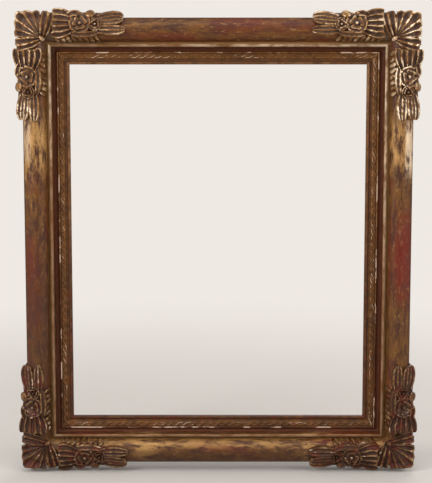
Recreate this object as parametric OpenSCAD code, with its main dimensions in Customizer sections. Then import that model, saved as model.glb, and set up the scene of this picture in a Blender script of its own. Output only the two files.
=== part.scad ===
// Carved and gilded picture frame: four mitred frieze rails, four sight strips that form the
// rabbet, cast corner ornaments, and the hanging and holding hardware on the back.
// X runs across the frame, Z up, and the front faces -Y. The origin is the middle of the back plane.

/* [Picture] */
// Width of the picture that the rabbet takes
picture_w = 508; // [420:1:900]
// Height of the picture that the rabbet takes
picture_h = 610; // [460:1:1100]
// Overlap of the sight edge on the picture
lip_w = 6; // [3:0.5:8]
// Depth of the rabbet behind the sight edge
rabbet_h = 13; // [9:0.5:15]

/* [Frieze rail] */
// Width of the rounded frieze
frieze_w = 40; // [38:0.5:50]
// Height of the frieze's crown above the back
crown_h = 46; // [42:0.5:56]
// Distance of the crown from the outer edge
crown_u = 18; // [17:0.5:22]
// Fall of the frieze from its crown to the quirk beside the fillet
frieze_fall = 18; // [15:0.5:20]
// Width of the quirk between frieze and fillet
quirk_w = 2.5; // [1.5:0.5:4]
// Width of the rounded fillet
fillet_w = 5.5; // [4:0.5:8]
// Height of the fillet above the quirk
fillet_rise = 8; // [5:0.5:10]
// Radius of the hollow along the outer side
side_hollow_r = 8; // [5:0.5:9]
// Depth of the hollow along the outer side
side_hollow_d = 3; // [1:0.5:4]

/* [Sight strip] */
// Width of the hollow beside the fillet
hollow_w = 7.5; // [6:0.5:10]
// Depth of that hollow
hollow_d = 3; // [2:0.5:3.5]
// Width of the fine bead
fine_bead_w = 2.5; // [1.5:0.5:4]
// Width of the ribbon band
band_w = 9; // [6:0.5:14]
// Width of the groove beside the band
groove_w = 3; // [2:0.5:5]
// Width of the bead at the sight edge
sight_bead_w = 6; // [4:0.5:8]
// Thickness of the strip under its hollow
strip_h = 4.5; // [3.5:0.5:6]
// Height of the ribbon band above the strip's groove
band_rise = 5; // [3:0.5:7]

/* [Mitre keys] */
// Length of a key across the mitre
key_l = 34; // [24:1:44]
// Width of a key at its ends
key_w = 13; // [9:0.5:16]
// Width of a key at its waist
waist_w = 7; // [5:0.5:8]
// Thickness of a key
key_h = 6; // [4:0.5:8]
// Distance of a key from the outer corner along each side
key_at = 30; // [26:1:38]

/* [Corner shell] */
// Overhang of the shell past the outer edge, at its middle flute
shell_overhang = 13; // [9:0.5:16]
// Height of the ornament's flat underside above the back
under_h = 17; // [10:0.5:22]
// Distance of the shell's root from both outer edges
root_at = 33; // [28:0.5:36]
// Length of a side flute beside the middle one
side_flute_l = 44; // [40:0.5:48]
// Length of an outermost flute
last_flute_l = 44; // [36:0.5:46]
// Rise of the shell's hollows above the frieze
shell_lift = 3.5; // [3:0.5:5]
// Rise of the turned-up lips at the ends of the flutes
lip_rise = 8; // [4:0.5:10]
// Rise of the ridges between the flutes
ridge_rise = 6; // [3:0.5:8]
// Number of scallops round the middle flute
scallop_count = 5; // [3:1:7]
// Depth of the notches between scallops
scallop_d = 3; // [1:0.5:4]

/* [Arm ornament] */
// Reach of the shell along each rail
shell_reach = 52; // [48:0.5:56]
// Length of an arm of the ornament, from the outer corner
arm_l = 172; // [168:1:190]
// Width of an arm inside the outer edge
arm_w = 29; // [26:0.5:32]
// Overhang of an arm past the outer edge
arm_overhang = 9; // [6:0.5:12]
// Rise of the leaves above the frieze
leaf_lift = 5; // [3:0.5:7]
// Depth of the flutes in the leaves
flute_d = 2.5; // [1:0.25:3]
// Number of curled leaves in the collar beside the shell
collar_count = 4; // [3:1:5]
// Length of the collar's leaves
collar_l = 34; // [28:1:38]
// Upward curl of the collar's tips
collar_curl = 3; // [1:0.5:4]
// Length of the split leaf at the end of an arm
end_leaf_l = 46; // [38:1:54]
// Distance of the larger rose from the outer corner
rose_at = 98; // [92:1:104]
// Radius of the larger rose
big_rose_r = 16; // [12:0.5:17]
// Radius of the smaller rose
small_rose_r = 9; // [6:0.5:10]
// Radius of the bud on the outer edge
bud_r = 6; // [4:0.5:7.5]
// Gap between neighbouring ornament castings
casting_gap = 0.4; // [0.3:0.1:1]
// Glue gap between an ornament and the rail under it
glue_gap = 0.06; // [0.05:0.01:0.2]

/* [Husk garland] */
// Distance from the outer corner to the first husk
garland_at = 53; // [52:0.5:58]
// Spacing of the husks
husk_pitch = 9.5; // [8:0.5:12]
// Thickness of a husk
husk_d = 7; // [5:0.5:8]
// Slant of a husk along the rail
husk_slant = 8; // [4:0.5:10]
// Number of husks in a garland
husk_count = 8; // [8:1:12]

/* [Ring hangers] */
// Distance of the ring's hinge below the top edge
hanger_drop = 178; // [150:1:240]
// Width of the hanger strap
strap_w = 11; // [9:0.5:13]
// Strap beyond the middle of its last screw
strap_end = 6; // [5:0.5:9]
// Distance between the strap's two screws
screw_pitch = 10; // [8:0.5:14]
// Gap between the resting ring and the first screw's head
ring_to_screw = 3; // [1.5:0.5:6]
// Thickness of the strap's sheet, which is folded double
sheet_t = 0.8; // [0.6:0.1:1.2]
// Diameter of the ring's wire
wire_d = 2.5; // [2:0.1:3]
// Width of the ring between the middles of its legs
ring_w = 17; // [16:0.5:22]
// Length of the ring's straight legs
ring_leg_l = 8; // [6:0.5:10]
// Running clearance of the wire in the knuckle
hinge_gap = 0.05; // [0.03:0.01:0.1]
// Clearance between the resting ring and the strap
rest_gap = 0.3; // [0.2:0.1:0.5]

/* [Turn buttons] */
// Distance of a button's pivot from the middle of the side rail
button_spread = 150; // [60:1:200]
// Distance of the pivot from the rabbet
pivot_inset = 13; // [10:0.5:16]
// Reach of a button from its pivot
button_reach = 20; // [16:0.5:24]
// Width of a button
button_w = 11; // [9:0.5:13]
// Thickness of a button
button_t = 1.2; // [0.8:0.1:2]
// Gap above and below a button
button_gap = 0.25; // [0.2:0.05:0.4]
// Running clearance of a button on its screw
pivot_gap = 0.06; // [0.03:0.01:0.1]

/* [Screws] */
// Diameter of a screw's shank
shank_d = 3.5; // [3:0.1:4.5]
// Length of a hanger screw in the wood
shank_l = 14; // [10:0.5:18]
// Wood left between the tip of a button's screw and the sight strip
wood_under_tip = 3; // [1.5:0.5:4]
// Diameter of a screw's head
head_d = 7; // [6:0.1:8]
// Height of a screw's head
head_h = 2; // [1.5:0.1:3]
// Clearance of a screw's hole all round
hole_gap = 0.1; // [0.05:0.01:0.2]

/* [Hidden] */
sight_w = hollow_w + fine_bead_w + band_w + groove_w + sight_bead_w;
step_u = frieze_w + quirk_w + fillet_w;
moulding_w = step_u + sight_w;
outer_w = picture_w - 2 * lip_w + 2 * moulding_w;
outer_h = picture_h - 2 * lip_w + 2 * moulding_w;
rail_back_w = moulding_w - lip_w;
quirk_h = crown_h - frieze_fall;
inner_run = frieze_w - crown_u;
frieze_r = (inner_run * inner_run + frieze_fall * frieze_fall) / (2 * frieze_fall);
edge_h = frieze_z(0);

// Slope at which the ornament's face runs out past the outer edge
overhang_slope = 0.75;
// Chords that stand in for the frieze's rounding under the ornaments
bed_chords = 6;
// Room around the ornaments in cuts that shape them
over = 40;
// Share of its width by which a carving's back is smaller than its front
undercut = 0.12;

// Half angles of the shell's middle flute, of the flutes beside it and of the outermost ones
middle_half = 43;
side_half = 9;
last_half = 8;
// Grid steps across a side flute, and the radius at which the flutes spring
side_steps = 4;
root_r = 4;
// Grid lines along the shell from its root, as shares of a flute's length
SHELL_ROWS = [0, 0.25, 0.5, 0.7, 0.84, 0.94, 1];
// Width of the band along the mitre in which the shell's two slopes run into one another
mitre_band = 10;

// Where an arm's own casting starts, and the middle and half width of the arm
spray_start = shell_reach + casting_gap;
arm_middle = (arm_w - arm_overhang) / 2;
arm_half = (arm_w + arm_overhang) / 2;
// Half widths of the leaf between the flowers and the garland and of the one on the outer edge
side_leaf_half = 4.5;
edge_leaf_half = 6;
// How far the base of a leaf runs under its neighbours
leaf_tuck = 8;
// Distance from an arm's sides to the tips of its split end leaf
lobe_inset = 9;
// Length of a husk's inner tip that is one with the leaves
husk_overlap = 7;
// Petals in each ring of the larger and of the smaller rose
big_petals = 5;
small_petals = 4;
// The flutes from one arm round to the other: middle angle, half angle, length and grid steps of each
FLUTES = let (one = middle_half + side_half, two = one + side_half + last_half)
    [[-two, last_half, last_flute_l, side_steps], [-one, side_half, side_flute_l, side_steps],
     [0, middle_half, 0, 4 * scallop_count],
     [one, side_half, side_flute_l, side_steps], [two, last_half, last_flute_l, side_steps]];

knuckle_r = wire_d / 2 + hinge_gap + sheet_t;
strap_t = 2 * sheet_t;
ring_r = ring_w / 2;
ring_reach = ring_leg_l + ring_r;
rest_tilt = asin((strap_t + rest_gap + wire_d / 2 - knuckle_r) / ring_reach);
hanger_u = step_u / 2;
hanger_z = outer_h / 2 - hanger_drop;
first_screw = ring_reach + (wire_d + head_d) / 2 + ring_to_screw;
screw_drops = [first_screw, first_screw + screw_pitch];
strap_l = screw_drops[1] + strap_end;
lug_l = 2.2 * knuckle_r;
pivot_u = rail_back_w - pivot_inset;
button_seat = 2 * button_gap + button_t;
button_shank_l = rabbet_h - wood_under_tip;
screw_hole_d = shank_d + 2 * hole_gap;

$fn = 48;

SIDES = [["top", 180, outer_w, outer_h], ["bottom", 0, outer_w, outer_h],
         ["left", 90, outer_h, outer_w], ["right", -90, outer_h, outer_w]];
CORNERS = [["top_left", -1, 1], ["top_right", 1, 1], ["bottom_left", -1, -1], ["bottom_right", 1, -1]];
ARMS = ["across", "upright"];
HANDS = [["left", -1], ["right", 1]];
LEVELS = [["upper", 1], ["lower", -1]];

// Height of the frieze's face at a distance u from the outer edge, running out past the edge
function frieze_z(u) =
    u < 0 ? edge_h + u * overhang_slope
    : let (run = min(u, frieze_w) - crown_u)
      crown_h - frieze_r + sqrt(max(0, frieze_r * frieze_r - run * run));

// The same over a corner, where both rails' faces run together
function face_z(x, y) =
    let (overlap = max(0, mitre_band - abs(x - y)))
    frieze_z(min(x, y) - overlap * overlap / (4 * mitre_band));

// Profiles: x is the distance from the outer edge, y the height above the back

module frieze_profile() {
    difference() {
        union() {
            square([rail_back_w, rabbet_h]);
            square([step_u, quirk_h]);
            intersection() {
                translate([crown_u, crown_h - frieze_r]) circle(frieze_r, $fn = 96);
                square([frieze_w, crown_h + 1]);
            }
            translate([step_u - fillet_w, 0]) square([fillet_w, quirk_h + fillet_rise - fillet_w / 2]);
            translate([step_u - fillet_w / 2, quirk_h + fillet_rise - fillet_w / 2]) circle(fillet_w / 2);
        }
        translate([side_hollow_d - side_hollow_r, under_h + side_hollow_d]) circle(side_hollow_r);
    }
}

module sight_profile() {
    hollow_r = (hollow_w * hollow_w / 4 + hollow_d * hollow_d) / (2 * hollow_d);
    floor_h = rabbet_h + strip_h;
    bead_at = step_u + hollow_w + fine_bead_w / 2;
    band_at = step_u + hollow_w + fine_bead_w;
    groove_at = band_at + band_w;
    sight_bead_at = groove_at + groove_w + sight_bead_w / 2;
    difference() {
        translate([step_u, rabbet_h]) square([hollow_w, strip_h + hollow_d]);
        translate([step_u + hollow_w / 2, floor_h + hollow_r]) circle(hollow_r);
    }
    translate([bead_at - fine_bead_w / 2, rabbet_h]) square([fine_bead_w, strip_h + band_rise]);
    translate([bead_at, floor_h + band_rise]) circle(fine_bead_w / 2);
    polygon([[band_at, rabbet_h], [groove_at + groove_w, rabbet_h], [groove_at + groove_w, floor_h],
             [groove_at, floor_h], [groove_at, floor_h + band_rise * 0.5],
             [band_at + band_w * 0.4, floor_h + band_rise], [band_at, floor_h + band_rise * 0.8]]);
    translate([groove_at + groove_w, rabbet_h]) square([sight_bead_w, strip_h]);
    translate([sight_bead_at, floor_h]) circle(sight_bead_w / 2);
}

// A length of moulding mitred at both ends, lying along the bottom of the frame
module mitred(length, height) {
    translate([0, 0, -height / 2])
        intersection() {
            translate([-length / 2, 0, 0]) rotate([0, -90, 180]) linear_extrude(length) children();
            rotate([90, 0, 0])
                translate([0, 0, -1])
                    linear_extrude(crown_h + 2)
                        polygon([[-length / 2 - 1, -1], [length / 2 + 1, -1],
                                 [length / 2 - moulding_w - 1, moulding_w + 1],
                                 [-length / 2 + moulding_w + 1, moulding_w + 1]]);
        }
}

// Puts a rail that lies along the bottom on its own side
module on_side(turn) {
    rotate([0, turn, 0]) children();
}

// Corner frame: x and y run along the rails from the outer corner, z is the height above the back
module at_corner(side, level) {
    multmatrix([[-side, 0, 0, side * outer_w / 2],
                [0, 0, -1, 0],
                [0, -level, 0, level * outer_h / 2],
                [0, 0, 0, 1]])
        children();
}

// Swaps the two arms of a corner
module on_arm(arm) {
    if (arm == "across") children();
    else multmatrix([[0, 1, 0, 0], [1, 0, 0, 0], [0, 0, 1, 0], [0, 0, 0, 1]]) children();
}

module key_shape(back = 0) {
    translate([key_at, key_at, -back])
        rotate([0, 0, -45])
            linear_extrude(key_h + back)
                polygon([[-key_l / 2, -key_w / 2], [0, -waist_w / 2], [key_l / 2, -key_w / 2],
                         [key_l / 2, key_w / 2], [0, waist_w / 2], [-key_l / 2, key_w / 2]]);
}

// A hole drilled from the back through a strap and into a side rail, a little deeper than its screw
module back_hole(side, u, z, shank) {
    translate([side * (outer_w / 2 - u), strap_t + 1, z])
        rotate([90, 0, 0])
            cylinder(d = screw_hole_d, h = strap_t + shank + 2);
}

module rail(turn, length, height) {
    color([0.43, 0.29, 0.18])
        difference() {
            on_side(turn) mitred(length, height) frieze_profile();
            for (c = CORNERS) at_corner(c[1], c[2]) key_shape(1);
            if (abs(turn) == 90) {
                side = -sign(turn);
                for (d = screw_drops) back_hole(side, hanger_u, hanger_z - d, shank_l);
                for (l = LEVELS) back_hole(side, pivot_u, l[1] * button_spread, button_shank_l);
            }
        }
}

module sight_strip(turn, length, height) {
    color([0.36, 0.22, 0.14]) on_side(turn) mitred(length, height) sight_profile();
}

module mitre_key(side, level) {
    color([0.5, 0.36, 0.24]) at_corner(side, level) key_shape();
}

// The space that the rails take up under the ornaments, a glue gap larger than the rails
module bed() {
    centre_h = crown_h - frieze_r;
    start = 180 - acos(min(1, (crown_u + glue_gap) / frieze_r));
    end = acos(min(1, inner_run / frieze_r));
    bed_r = (frieze_r + glue_gap) / cos((start - end) / (2 * bed_chords));
    arc = [for (k = [0:bed_chords]) start + (end - start) * k / bed_chords];
    line = concat([[-glue_gap, -1]],
                  [for (a = arc) [crown_u + bed_r * cos(a), centre_h + bed_r * sin(a)]],
                  [[frieze_w, quirk_h + glue_gap], [step_u - fillet_w - glue_gap, quirk_h + glue_gap],
                   [step_u - fillet_w - glue_gap, crown_h + over], [step_u + over, crown_h + over],
                   [step_u + over, -1]]);
    reach = arm_l + over;
    for (arm = ARMS)
        on_arm(arm)
            intersection() {
                translate([-over, 0, 0]) rotate([90, 0, 90]) linear_extrude(reach + over) polygon(line);
                translate([0, 0, -2])
                    linear_extrude(crown_h + over + 4)
                        polygon([[-over, -over], [reach, -over], [reach, reach]]);
            }
}

// A carved piece whose front is a grid of points and whose back is flat and a little smaller
module carved(front, back_h) {
    rows = len(front);
    cols = len(front[0]);
    grid = [for (row = front) for (p = row) p];
    middle = (grid[0] + grid[cols - 1] + grid[len(grid) - 1] + grid[len(grid) - cols]) / 4;
    rim = concat([for (j = [0:cols - 1]) j],
                 [for (i = [1:rows - 1]) i * cols + cols - 1],
                 [for (j = [cols - 2:-1:0]) (rows - 1) * cols + j],
                 [for (i = [rows - 2:-1:1]) i * cols]);
    first = rows * cols;
    last = len(rim) - 1;
    back = [for (k = rim) let (p = grid[k] + (middle - grid[k]) * undercut) [p[0], p[1], back_h]];
    front_faces = [for (i = [0:rows - 2]) for (j = [0:cols - 2])
        let (p = i * cols + j, q = p + cols)
        for (f = [[p, p + 1, q + 1], [p, q + 1, q]]) f];
    side_faces = [for (k = [0:last])
        let (n = k == last ? 0 : k + 1)
        for (f = [[rim[n], rim[k], first + k], [rim[n], first + k, first + n]]) f];
    back_face = [[for (k = [last:-1:0]) first + k]];
    polyhedron(concat(grid, back), concat(front_faces, side_faces, back_face));
}

// Length of a flute at t across it; the middle one follows the corner and is scalloped
function flute_reach(f, t) =
    f[0] == 0
    ? let (turn = 45 - abs(f[1] * t))
      min((root_at + shell_overhang) / cos(turn), 1.36 * (root_at + shell_overhang))
      - scallop_d * pow(cos(90 * scallop_count * (t + 1)), 4)
    : f[2] * (1 - 0.12 * t * t);

// A point of the shell on flute f, at t across it from -1 to 1 and s along it from 0 to 1
function shell_point(f, t, s) =
    let (turn = 225 + f[0] + f[1] * t,
         r = root_r + (flute_reach(f, t) - root_r) * s,
         x = root_at + r * cos(turn),
         y = root_at + r * sin(turn),
         ridge = ridge_rise * pow(abs(t), f[0] == 0 ? 6 : 2) * sin(60 + 90 * s),
         lip = lip_rise * pow(s, 5) * (s < 1 ? 1 : 0.6) * (f[0] == 0 ? 1 : 1 - 0.6 * t * t))
    [x, y, face_z(x, y) + shell_lift + ridge + lip];

module corner_shell(side, level) {
    last = FLUTES[len(FLUTES) - 1];
    columns = concat([for (f = FLUTES) for (k = [0:f[3] - 1]) [f, 2 * k / f[3] - 1]], [[last, 1]]);
    front = [for (s = SHELL_ROWS) [for (c = columns) shell_point(c[0], c[1], s)]];
    color([0.47, 0.33, 0.2])
        at_corner(side, level)
            difference() {
                intersection() {
                    union() {
                        carved(front, under_h);
                        root_scroll();
                    }
                    translate([-over, -over, 0])
                        cube([shell_reach + over, shell_reach + over, crown_h + over]);
                }
                bed();
            }
}

// The curl from which the shell's flutes spring
module root_scroll() {
    hull()
        for (d = [-4, 2])
            let (at = root_at + d)
                translate([at, at, face_z(at, at)]) sphere(5 - d / 4, $fn = 8);
}

// A fluted leaf from one point to another, each as [distance along the rail, distance from its edge]. A
// smaller blunt gives fuller ends, and curl lifts the tip.
module leaf(from, to, half_w, flutes, lift = leaf_lift, blunt = 0.6, curl = 0, rows = 5) {
    run = to - from;
    across = [-run[1], run[0]] / norm(run);
    cols = 2 * flutes;
    function half_at(s) = half_w * pow(sin(22 + 144 * s), blunt);
    function point(i, j) =
        let (s = i / rows,
             t = 2 * j / cols - 1,
             p = from + run * s + across * half_at(s) * t,
             round = 0.35 + 0.65 * sqrt(1 - 0.8 * t * t),
             flute = flute_d * (j % 2 == 0 ? -0.5 : 0.5))
        [p[0], p[1], frieze_z(p[1]) + lift * round * sqrt(sin(20 + 145 * s)) + curl * pow(s, 3) + flute];
    carved([for (i = [0:rows]) [for (j = [0:cols]) point(i, j)]], under_h);
}

// A rose seen from the front: a button inside cupped inner petals inside cupped outer petals
module rose(at, r, petals) {
    cols = 4 * petals;
    h = frieze_z(at[1]);
    // Each ring's distance from the middle and height as shares of the radius, how deep its notches are,
    // and the column of a petal that they are at
    rings = [[0.18, 0.5, 0, 0], [0.3, 0.24, 0, 0], [0.54, 0.46, 0.5, 2], [0.64, 0.2, 0.3, 2],
             [0.92, 0.4, 0.8, 0], [1, 0.22, 1, 0]];
    rows = len(rings);
    function point(ring, k) =
        let (notch = (k + ring[3]) % 4 == 0 ? ring[2] : 0,
             away = r * ring[0] * (1 - 0.16 * notch),
             turn = 360 * k / cols)
        [at[0] + away * cos(turn), at[1] + away * sin(turn), h + r * (ring[1] - 0.16 * notch)];
    front = [for (g = rings) for (k = [0:cols - 1]) point(g, k)];
    back = [for (k = [0:cols - 1]) let (p = point(rings[rows - 1], k)) [p[0], p[1], under_h]];
    points = concat([[at[0], at[1], h + 0.56 * r]], front, back);
    around = [for (k = [0:cols - 1]) k == cols - 1 ? 0 : k + 1];
    button_faces = [for (k = [0:cols - 1]) [0, 1 + around[k], 1 + k]];
    petal_faces = [for (g = [0:rows - 1]) for (k = [0:cols - 1])
        let (a = 1 + g * cols + k, b = 1 + g * cols + around[k])
        for (f = [[a, b, b + cols], [a, b + cols, a + cols]]) f];
    polyhedron(points, concat(button_faces, petal_faces, [[for (k = [0:cols - 1]) 1 + rows * cols + k]]));
}

// A bud that points along the rail
module bud(at, r) {
    hull() {
        translate([at[0], at[1], frieze_z(at[1])]) sphere(r, $fn = 8);
        translate([at[0] + r, at[1] + r / 2, frieze_z(at[1])]) sphere(r * 0.6, $fn = 6);
    }
}

// The curled leaves that fan out from the larger rose to the shell
module collar() {
    pitch = 2 * arm_half / collar_count;
    for (k = [0:collar_count - 1]) {
        across = arm_middle - arm_half + pitch * (k + 0.5);
        leaf([spray_start + collar_l, (across + arm_middle) / 2], [spray_start - 1, across], pitch * 0.6, 2,
             blunt = 0.3, curl = collar_curl, rows = 4);
    }
}

// The ground under the flowers, a leaf on either side of them and the split leaf at the arm's end
module leaves() {
    outer = arm_middle - arm_half;
    inner = arm_middle + arm_half;
    end_start = arm_l - end_leaf_l;
    flowers_start = rose_at - big_rose_r;
    side_at = inner - side_leaf_half;
    leaf([spray_start - leaf_tuck, arm_middle], [end_start + 2 * leaf_tuck, arm_middle], arm_half, 2,
         lift = leaf_lift * 0.6, blunt = 0.25, rows = 3);
    leaf([flowers_start, side_at], [end_start + leaf_tuck / 2, side_at], side_leaf_half, 2,
         lift = leaf_lift * 1.2);
    leaf([flowers_start - leaf_tuck, outer + 1.5 * edge_leaf_half], [rose_at, outer + edge_leaf_half],
         edge_leaf_half, 2);
    leaf([end_start, arm_middle - lobe_inset / 2], [arm_l, outer + lobe_inset], arm_half * 0.6, 3,
         blunt = 0.4);
    leaf([end_start, arm_middle + lobe_inset], [arm_l, inner - lobe_inset], arm_half * 0.5, 2, blunt = 0.4);
}

// The two roses and the bud that swells past the outer edge beside the smaller one
module flowers() {
    small_rose_at = rose_at + big_rose_r + small_rose_r;
    rose([rose_at, arm_middle], big_rose_r, big_petals);
    rose([small_rose_at, arm_middle + 2], small_rose_r, small_petals);
    bud([small_rose_at - small_rose_r, bud_r - shell_overhang], bud_r);
}

module garland() {
    first = garland_at + husk_d / 2;
    for (k = [0:husk_count - 1]) husk(first + k * husk_pitch, arm_w - husk_overlap, frieze_w - 1.5);
}

module rose_spray(side, level, arm) {
    color([0.45, 0.31, 0.19])
        at_corner(side, level)
            on_arm(arm)
                difference() {
                    intersection() {
                        union() {
                            collar();
                            leaves();
                            flowers();
                            garland();
                        }
                        translate([spray_start, -over, under_h])
                            cube([arm_l, frieze_w + over, crown_h + over]);
                    }
                    bed();
                }
}

// One slanted husk across the inner slope of the frieze from u1 to u2: a pointed spindle of four sides
module husk(s, u1, u2) {
    function ring(share, d) =
        let (u = u1 + (u2 - u1) * share)
        [for (turn = [0:90:270])
            [s + husk_slant * share + d / 2 * cos(turn), u, frieze_z(u) + d / 2 * sin(turn)]];
    inner_tip = [s, u1, frieze_z(u1)];
    outer_tip = [s + husk_slant, u2, frieze_z(u2) - 1];
    points = concat([inner_tip], ring(0.25, husk_d * 1.1), ring(0.65, husk_d), [outer_tip]);
    faces = [for (k = [0:3])
        let (n = (k + 1) % 4)
        for (f = [[0, 1 + n, 1 + k], [1 + k, 1 + n, 5 + n], [1 + k, 5 + n, 5 + k], [9, 5 + k, 5 + n]]) f];
    polyhedron(points, faces);
}

// Outline of the strap's folded end from the side: x is behind the back, y above the hinge
module knuckle_outline() {
    difference() {
        union() {
            translate([0, -lug_l]) square([strap_t, lug_l]);
            polygon([[0, -lug_l], [strap_t, -lug_l], [knuckle_r * 1.75, -knuckle_r * 0.6],
                     [knuckle_r, 0], [0, 0]]);
            translate([knuckle_r, 0]) circle(knuckle_r);
        }
        translate([knuckle_r, 0]) circle(d = wire_d + 2 * hinge_gap);
    }
}

module hanger_strap(side) {
    plate_l = strap_l - strap_w / 2 - lug_l;
    color([0.72, 0.58, 0.3])
        difference() {
            translate([side * (outer_w / 2 - hanger_u), 0, hanger_z]) {
                translate([-strap_w / 2, 0, 0]) rotate([90, 0, 90]) linear_extrude(strap_w) knuckle_outline();
                translate([0, strap_t, -lug_l])
                    rotate([90, 0, 0])
                        linear_extrude(strap_t) {
                            translate([-strap_w / 2, -plate_l]) square([strap_w, plate_l]);
                            translate([0, -plate_l]) circle(d = strap_w);
                        }
            }
            for (d = screw_drops) back_hole(side, hanger_u, hanger_z - d, shank_l);
        }
}

// The ring hangs from its hinge and leans off the strap by its rest tilt
module hanger_ring(side) {
    color([0.75, 0.62, 0.34])
        translate([side * (outer_w / 2 - hanger_u), knuckle_r, hanger_z])
            rotate([rest_tilt, 0, 0]) {
                rotate([0, 90, 0]) cylinder(d = wire_d, h = ring_w, center = true);
                for (s = [-1, 1]) {
                    translate([s * ring_r, 0, -ring_leg_l]) cylinder(d = wire_d, h = ring_leg_l);
                    translate([s * ring_r, 0, 0]) sphere(d = wire_d);
                }
                translate([0, 0, -ring_leg_l])
                    rotate([90, 0, 0])
                        rotate([0, 0, 180])
                            rotate_extrude(angle = 180)
                                translate([ring_r, 0]) circle(d = wire_d);
            }
}

// A slotted screw in the back of a side rail, the underside of its head the given height off the back
module screw(side, u, z, seat, shank) {
    translate([side * (outer_w / 2 - u), seat, z])
        rotate([90, 0, 0]) {
            cylinder(d = shank_d, h = shank + seat);
            translate([0, 0, -head_h])
                difference() {
                    cylinder(d1 = head_d * 0.8, d2 = head_d, h = head_h);
                    translate([-head_d, -0.4, -1]) cube([2 * head_d, 0.8, 1.6]);
                }
        }
}

module hanger_screws(side) {
    color([0.62, 0.6, 0.55]) for (d = screw_drops) screw(side, hanger_u, hanger_z - d, strap_t, shank_l);
}

module button_screw(side, level) {
    color([0.62, 0.6, 0.55]) screw(side, pivot_u, level * button_spread, button_seat, button_shank_l);
}

// A button lies along its rail, pointing to the middle of the rail
module turn_button(side, level) {
    tip_at = button_reach - button_w / 2;
    color([0.74, 0.6, 0.32])
        translate([side * (outer_w / 2 - pivot_u), button_gap + button_t, level * button_spread])
            rotate([90, 0, 0])
                difference() {
                    union() {
                        cylinder(d = button_w, h = button_t);
                        translate([-button_w / 2, level > 0 ? -tip_at : 0, 0])
                            cube([button_w, tip_at, button_t]);
                        translate([0, -level * tip_at, 0]) cylinder(d = button_w, h = button_t);
                    }
                    translate([0, 0, -1]) cylinder(d = shank_d + 2 * pivot_gap, h = button_t + 2);
                }
}

for (s = SIDES) rail(s[1], s[2], s[3]);
for (s = SIDES) sight_strip(s[1], s[2], s[3]);
for (c = CORNERS) mitre_key(c[1], c[2]);
for (c = CORNERS) corner_shell(c[1], c[2]);
for (c = CORNERS) for (a = ARMS)
    rose_spray(c[1], c[2], a);
for (h = HANDS) hanger_strap(h[1]);
for (h = HANDS) hanger_ring(h[1]);
for (h = HANDS) hanger_screws(h[1]);
for (h = HANDS) for (l = LEVELS)
    turn_button(h[1], l[1]);
for (h = HANDS) for (l = LEVELS)
    button_screw(h[1], l[1]);
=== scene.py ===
import math

import bmesh
import bpy
import numpy as np
from mathutils import Matrix, Vector, noise


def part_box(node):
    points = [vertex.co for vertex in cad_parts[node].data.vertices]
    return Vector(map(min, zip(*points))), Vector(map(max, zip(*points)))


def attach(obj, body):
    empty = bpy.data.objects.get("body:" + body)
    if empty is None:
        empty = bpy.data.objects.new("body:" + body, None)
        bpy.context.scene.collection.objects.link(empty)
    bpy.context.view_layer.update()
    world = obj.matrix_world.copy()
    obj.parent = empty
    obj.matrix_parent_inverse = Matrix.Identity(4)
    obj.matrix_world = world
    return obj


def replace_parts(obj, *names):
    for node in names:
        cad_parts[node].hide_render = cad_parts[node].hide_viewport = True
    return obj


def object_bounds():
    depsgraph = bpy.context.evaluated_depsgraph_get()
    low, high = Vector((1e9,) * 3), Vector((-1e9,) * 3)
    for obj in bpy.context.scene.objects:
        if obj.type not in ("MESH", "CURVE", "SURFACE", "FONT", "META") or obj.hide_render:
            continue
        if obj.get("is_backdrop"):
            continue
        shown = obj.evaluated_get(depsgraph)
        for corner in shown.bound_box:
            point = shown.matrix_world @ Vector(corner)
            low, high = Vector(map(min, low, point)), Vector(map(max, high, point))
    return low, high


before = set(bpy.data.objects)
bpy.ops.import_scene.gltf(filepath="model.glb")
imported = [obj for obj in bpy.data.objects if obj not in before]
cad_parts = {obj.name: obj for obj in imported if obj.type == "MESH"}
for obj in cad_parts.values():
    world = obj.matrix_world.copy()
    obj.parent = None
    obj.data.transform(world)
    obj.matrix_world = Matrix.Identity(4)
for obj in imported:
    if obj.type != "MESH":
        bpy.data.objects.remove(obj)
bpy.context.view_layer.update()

bl_info = {
    "name": "Carved and gilded picture frame",
    "version": (1, 0, 0),
    "blender": (4, 5, 0),
    "location": "View3D > Sidebar > Gilded frame",
    "description": "Carves the corner ornaments and the sight edge and gilds the whole frame",
    "category": "Add Mesh",
}

MM = 0.001
BODY = "frame"

# The frame's front as packed: half sizes of the rails, and heights above the back plane, in mm
HALF_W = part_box("rail_top")[1].x / MM
HALF_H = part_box("rail_top")[1].z / MM
MOULDING_W = (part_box("rail_top")[1].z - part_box("sight_strip_top")[0].z) / MM
STEP_U = (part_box("rail_top")[1].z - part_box("sight_strip_top")[1].z) / MM
STRIP_BACK_H = -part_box("sight_strip_top")[1].y / MM
UNDER_H = -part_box("corner_shell_top_left")[1].y / MM
CROWN_H, CROWN_U, FRIEZE_W, FRIEZE_FALL = 46.0, 18.0, 40.0, 18.0
FRIEZE_R = ((FRIEZE_W - CROWN_U) ** 2 + FRIEZE_FALL ** 2) / (2 * FRIEZE_FALL)
# Slope on which the ornaments go on past the rail's outer edge
OVERHANG_SLOPE = 0.75
# Across the sight strip: the fine bead's middle, the start of the ribbon's band and its end at the groove
BEAD_U, BAND_U, GROOVE_U = STEP_U + 8.75, STEP_U + 10, STEP_U + 19

CORNERS = {"top_left": (-1, 1), "top_right": (1, 1), "bottom_left": (-1, -1), "bottom_right": (1, -1)}


def linear(red, green, blue):
    """A colour read as 0 to 255 sRGB, as the linear colour that shaders take."""
    def channel(value):
        value /= 255
        return value / 12.92 if value <= 0.04045 else ((value + 0.055) / 1.055) ** 2.4
    return (channel(red), channel(green), channel(blue), 1.0)


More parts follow.
